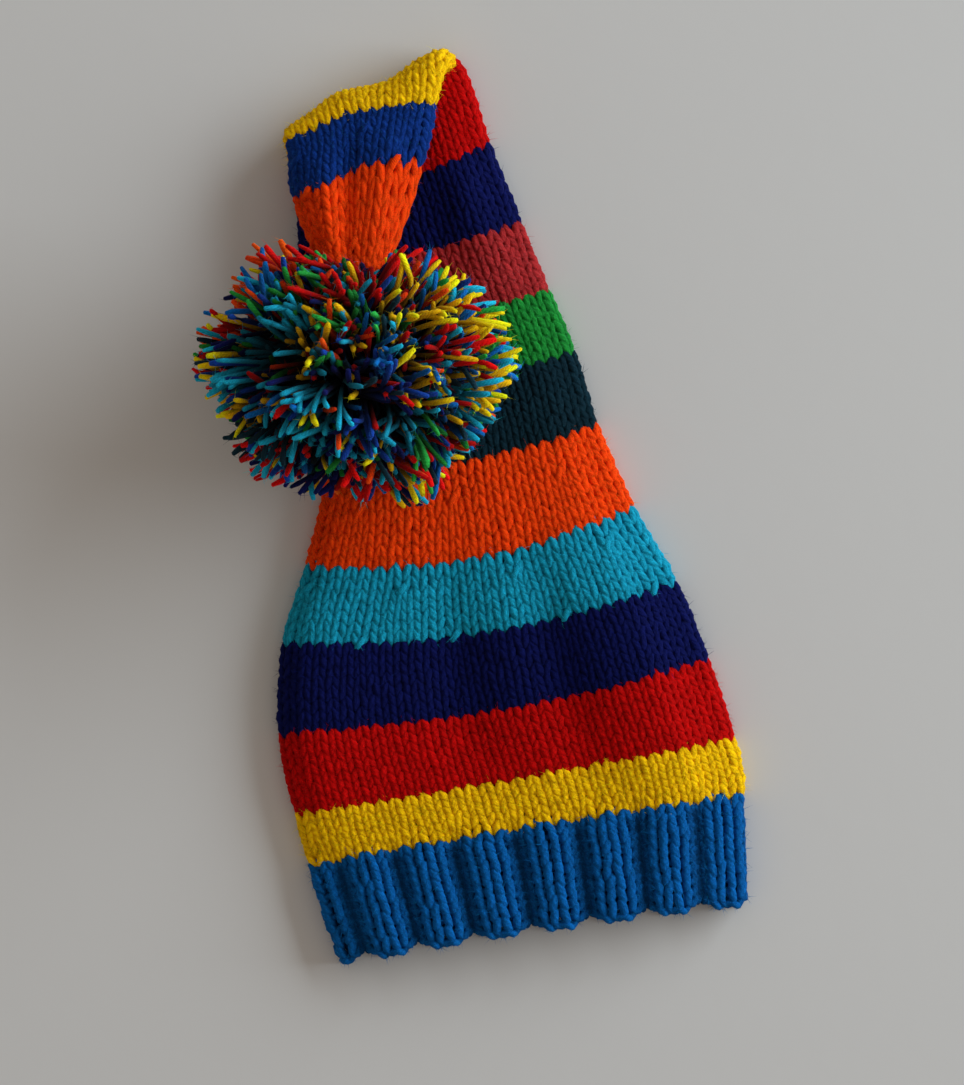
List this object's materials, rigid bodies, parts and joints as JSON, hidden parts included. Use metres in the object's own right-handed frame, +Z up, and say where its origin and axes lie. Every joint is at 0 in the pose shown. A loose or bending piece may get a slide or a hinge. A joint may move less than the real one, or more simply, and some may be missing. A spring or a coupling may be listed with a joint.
{
  "type": "knit pixie hat",
  "caption": "Striped knit stocking hat with a ribbed brim, lying flat with its tapering tail folded over to the front and ending in a pompom.",
  "frame": {"origin": "middle of the hat's box, on the surface it lies on", "axes": "+X along the mouth, to the right as seen from above, +Y from the mouth to the fold, +Z up from the surface"},
  "size_m": [0.1782, 0.3348, 0.0944],
  "materials": {
    "rib_band": "knit yarn",
    "yellow_stripe_low": "knit yarn",
    "red_stripe_low": "knit yarn",
    "navy_stripe_low": "knit yarn",
    "turquoise_stripe": "knit yarn",
    "orange_stripe_low": "knit yarn",
    "pine_stripe": "knit yarn",
    "green_stripe": "knit yarn",
    "rose_stripe": "knit yarn",
    "navy_stripe_high": "knit yarn",
    "red_stripe_high": "knit yarn",
    "yellow_stripe_high": "knit yarn",
    "blue_stripe": "knit yarn",
    "orange_tip": "knit yarn",
    "pompom": "cut yarn strands"
  },
  "bodies": {
    "root": {"rib_band": "rib_band", "yellow_stripe_low": "yellow_stripe_low", "red_stripe_low": "red_stripe_low", "navy_stripe_low": "navy_stripe_low", "turquoise_stripe": "turquoise_stripe", "orange_stripe_low": "orange_stripe_low", "pine_stripe": "pine_stripe", "green_stripe": "green_stripe", "rose_stripe": "rose_stripe", "navy_stripe_high": "navy_stripe_high", "red_stripe_high": "red_stripe_high", "yellow_stripe_high": "yellow_stripe_high", "blue_stripe": "blue_stripe", "orange_tip": "orange_tip", "pompom": "pompom"}
  },
  "joints": []
}
